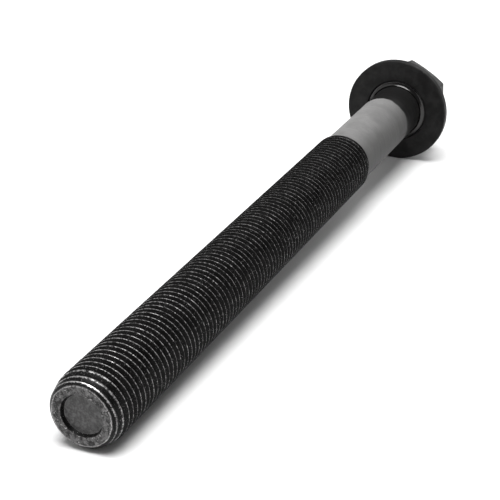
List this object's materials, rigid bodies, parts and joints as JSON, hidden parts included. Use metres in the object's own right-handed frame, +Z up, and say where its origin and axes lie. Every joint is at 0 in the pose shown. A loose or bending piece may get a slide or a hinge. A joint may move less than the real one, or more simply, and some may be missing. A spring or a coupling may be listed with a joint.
{
  "type": "hex bolt with washer",
  "caption": "Long hex bolt with a fine black thread, a bare steel shank, a small hex head and a loose flat washer under it.",
  "frame": {"origin": "on the bolt's axis, in the washer's front face, the plane that meets the clamped work", "axes": "+X along the bolt towards the thread tip, +Z up as it lies on a surface"},
  "size_m": [0.1468, 0.022, 0.022],
  "materials": {
    "bolt_steel": "black phosphate with worn bright crests, bare grey shank",
    "washer_steel": "black oxide, satin"
  },
  "bodies": {
    "bolt": {"bolt": "bolt_steel"},
    "washer": {"washer": "washer_steel"}
  },
  "joints": [
    {"name": "washer_slide", "type": "slide", "parent": "bolt", "child": "washer", "axis": [1, 0, 0], "range_m": [0, 0.1364]}
  ]
}
